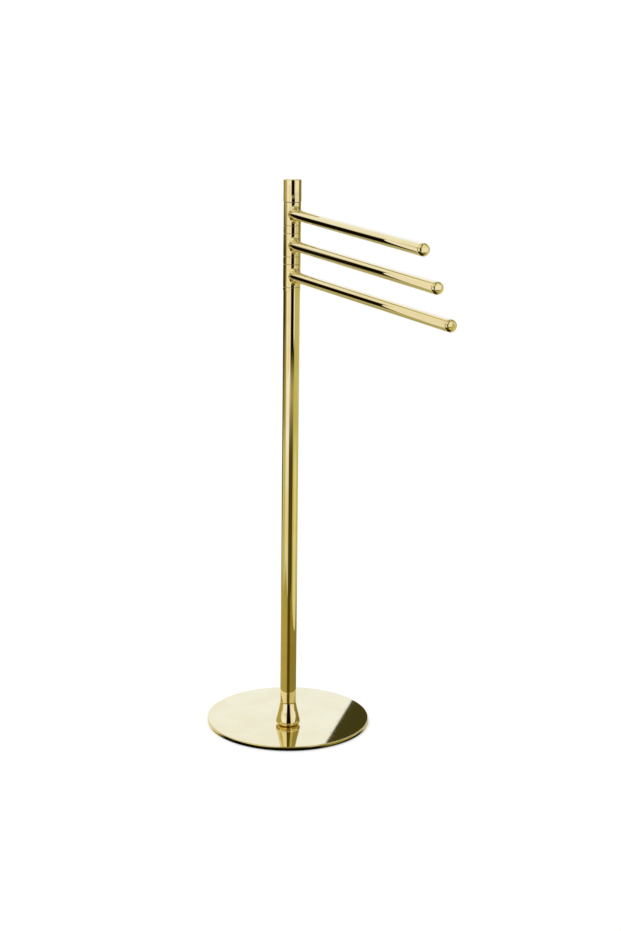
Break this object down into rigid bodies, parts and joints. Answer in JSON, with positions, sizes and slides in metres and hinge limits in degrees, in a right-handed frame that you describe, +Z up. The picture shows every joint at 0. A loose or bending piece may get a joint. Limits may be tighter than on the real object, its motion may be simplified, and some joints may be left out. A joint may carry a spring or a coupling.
{
  "type": "freestanding towel stand",
  "caption": "Freestanding towel stand: slim post on a flared foot collar and round base plate, with straight arms one above another that swivel at its head.",
  "frame": {"origin": "centre of the base's round underside, on the floor", "axes": "+Z up along the post; the post stands on the -Y side of the centre, and the arms point towards -Y and a little towards +X at rest"},
  "size_m": [0.329, 0.6915, 0.8679],
  "materials": {
    "polished_gold": "mirror-polished brass with a pale gold plate, clear-lacquered",
    "zinc_steel": "bright zinc-plated turned steel",
    "bearing_plastic": "natural acetal, as moulded",
    "anti_slip_pad": "matt black foam rubber sheet, fine cell texture"
  },
  "bodies": {
    "stand": {"base_plate": "polished_gold", "base_pad": "anti_slip_pad", "base_screw": "zinc_steel", "foot_collar": "polished_gold", "post_tube": "polished_gold", "seat_plug": "polished_gold", "spindle": "zinc_steel", "spacer_lower": "polished_gold", "spacer_upper": "polished_gold", "thrust_washer": "zinc_steel", "disc_spring": "zinc_steel", "adjusting_nut": "zinc_steel", "top_cap": "polished_gold"},
    "arm_bottom": {"hub_bottom": "polished_gold", "arm_tube_bottom": "polished_gold", "arm_end_bottom": "polished_gold", "bush_bottom_lower": "bearing_plastic", "bush_bottom_upper": "bearing_plastic"},
    "arm_middle": {"hub_middle": "polished_gold", "arm_tube_middle": "polished_gold", "arm_end_middle": "polished_gold", "bush_middle_lower": "bearing_plastic", "bush_middle_upper": "bearing_plastic"},
    "arm_top": {"hub_top": "polished_gold", "arm_tube_top": "polished_gold", "arm_end_top": "polished_gold", "bush_top_lower": "bearing_plastic", "bush_top_upper": "bearing_plastic"}
  },
  "joints": [
    {"name": "swivel_bottom", "type": "hinge", "parent": "stand", "child": "arm_bottom", "pos_m": [0, -0.033, 0.725], "axis": [0, 0, 1], "continuous": true},
    {"name": "swivel_middle", "type": "hinge", "parent": "stand", "child": "arm_middle", "pos_m": [0, -0.033, 0.771], "axis": [0, 0, 1], "continuous": true},
    {"name": "swivel_top", "type": "hinge", "parent": "stand", "child": "arm_top", "pos_m": [0, -0.033, 0.817], "axis": [0, 0, 1], "continuous": true}
  ]
}
